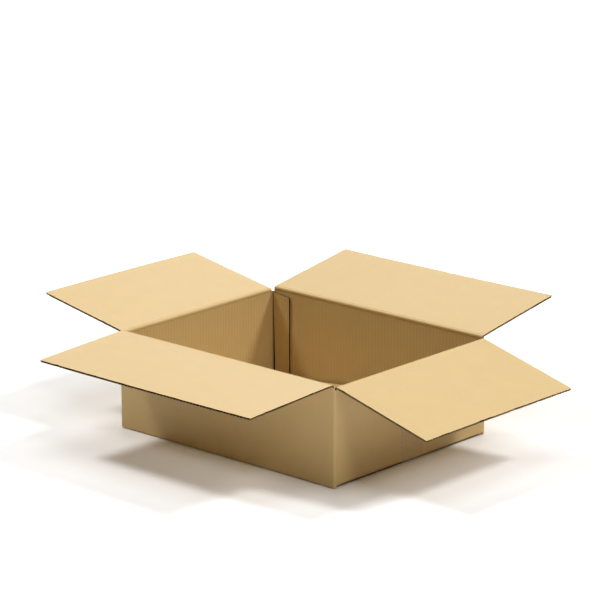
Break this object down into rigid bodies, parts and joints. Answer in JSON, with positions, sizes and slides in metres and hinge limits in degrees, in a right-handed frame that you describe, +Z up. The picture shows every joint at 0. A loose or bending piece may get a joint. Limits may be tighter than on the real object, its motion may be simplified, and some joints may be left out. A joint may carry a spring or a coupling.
{
  "type": "cardboard box",
  "caption": "Open corrugated cardboard box, a low slotted carton with its top flaps folded out.",
  "frame": {"origin": "on the floor, under the middle of the walls", "axes": "+X along the long walls, +Y from the front wall to the back wall, +Z up"},
  "size_m": [0.7723, 0.6885, 0.1847],
  "materials": {
    "kraft_board": "matt",
    "clear_tape": "gloss"
  },
  "bodies": {
    "box": {"box_body": "kraft_board", "bottom_tape": "clear_tape"},
    "front_flap": {"front_flap": "kraft_board"},
    "right_flap": {"right_flap": "kraft_board"},
    "back_flap": {"back_flap": "kraft_board"},
    "left_flap": {"left_flap": "kraft_board"}
  },
  "joints": [
    {"name": "front_flap_crease", "type": "hinge", "parent": "box", "child": "front_flap", "pos_m": [0, -0.1735, 0.1534], "axis": [-1, 0, 0], "range_deg": [-55.1, 182.75]},
    {"name": "back_flap_crease", "type": "hinge", "parent": "box", "child": "back_flap", "pos_m": [0, 0.1735, 0.1534], "axis": [1, 0, 0], "range_deg": [-67.5, 170.35]},
    {"name": "right_flap_crease", "type": "hinge", "parent": "box", "child": "right_flap", "pos_m": [0.218, 0, 0.1502], "axis": [0, -1, 0], "range_deg": [-43, 195.15]},
    {"name": "left_flap_crease", "type": "hinge", "parent": "box", "child": "left_flap", "pos_m": [-0.218, 0, 0.1502], "axis": [0, 1, 0], "range_deg": [-68, 170.15]}
  ]
}
